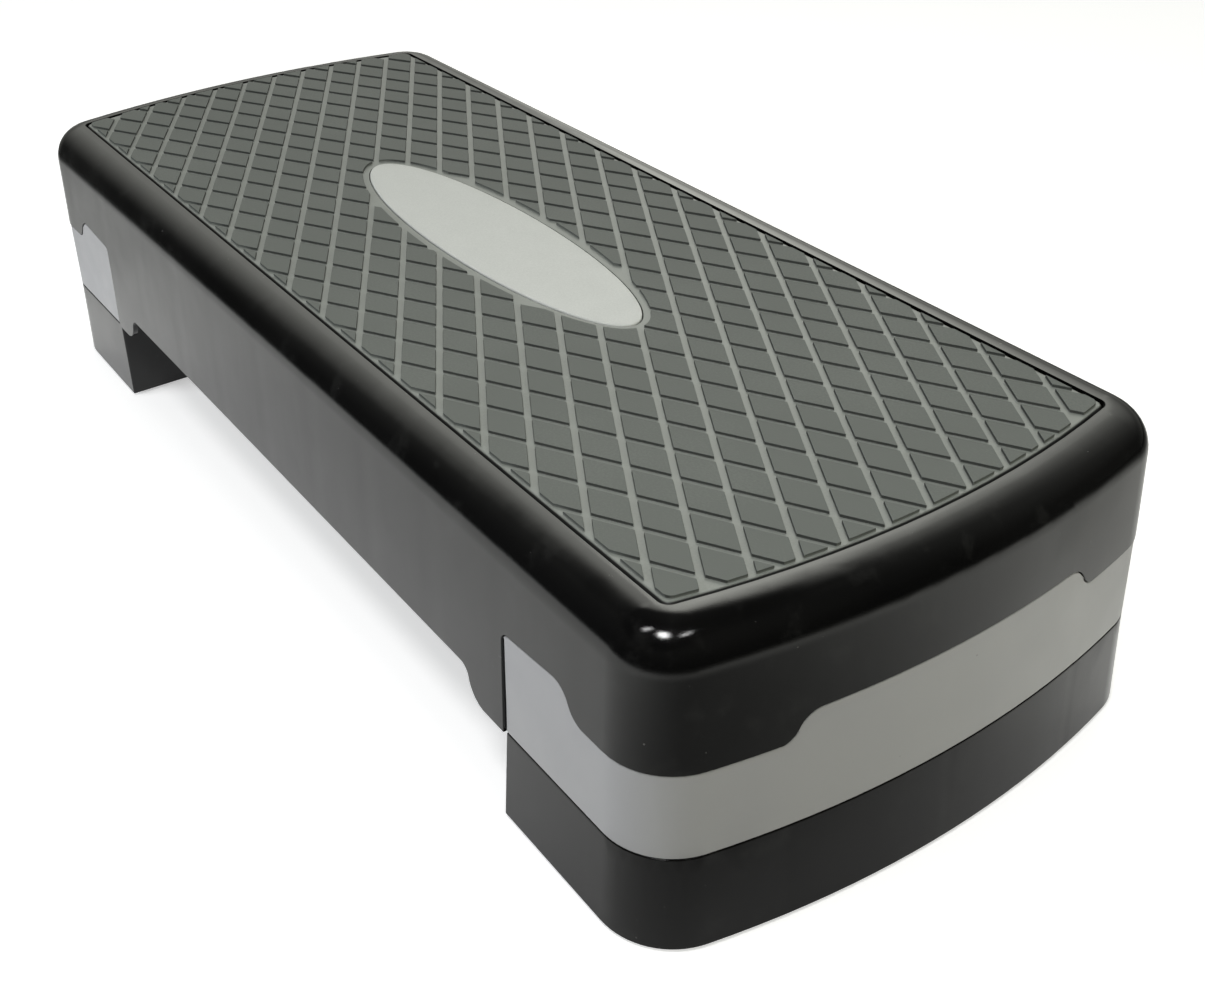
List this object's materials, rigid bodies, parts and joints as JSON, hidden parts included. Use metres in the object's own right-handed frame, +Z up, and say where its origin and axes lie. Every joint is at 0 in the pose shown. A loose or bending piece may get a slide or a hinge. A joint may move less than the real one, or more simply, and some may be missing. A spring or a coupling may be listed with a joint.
{
  "type": "aerobic step platform",
  "caption": "Low exercise step with bowed ends: a moulded deck with a diamond-tread mat, on end blocks that plug onto lift-off risers for more height.",
  "frame": {"origin": "on the floor, under the middle of the step", "axes": "+X along the step to the end nearest in the picture, +Y across it to the side that the picture hides, +Z up"},
  "size_m": [0.68, 0.28, 0.15],
  "materials": {
    "deck": "satin, fine grain",
    "mat": "matte",
    "badge": "satin",
    "block": "matte, fine grain",
    "riser": "satin, fine grain",
    "foot": "matte",
    "screw": "zinc plated"
  },
  "bodies": {
    "riser_left": {"riser_left": "riser", "riser_foot_left_front_inner": "foot", "riser_foot_left_front_outer": "foot", "riser_foot_left_back_inner": "foot", "riser_foot_left_back_outer": "foot"},
    "deck": {"deck_shell": "deck", "tread_mat": "mat", "badge_plate": "badge", "end_block_left": "block", "end_block_right": "block", "block_screws_left": "screw", "block_screws_right": "screw", "block_foot_left_front_inner": "foot", "block_foot_left_front_outer": "foot", "block_foot_left_back_inner": "foot", "block_foot_left_back_outer": "foot", "block_foot_right_front_inner": "foot", "block_foot_right_front_outer": "foot", "block_foot_right_back_inner": "foot", "block_foot_right_back_outer": "foot"},
    "riser_right": {"riser_right": "riser", "riser_foot_right_front_inner": "foot", "riser_foot_right_front_outer": "foot", "riser_foot_right_back_inner": "foot", "riser_foot_right_back_outer": "foot"}
  },
  "joints": [
    {"name": "deck_lift", "type": "slide", "parent": "riser_left", "child": "deck", "axis": [0, 0, 1], "range_m": [0, 0.06]},
    {"name": "riser_right_release", "type": "slide", "parent": "deck", "child": "riser_right", "axis": [0, 0, -1], "range_m": [0, 0.06]}
  ],
  "couplings": [
    {"joint": "riser_right_release", "follows": "deck_lift", "ratio": 1}
  ]
}
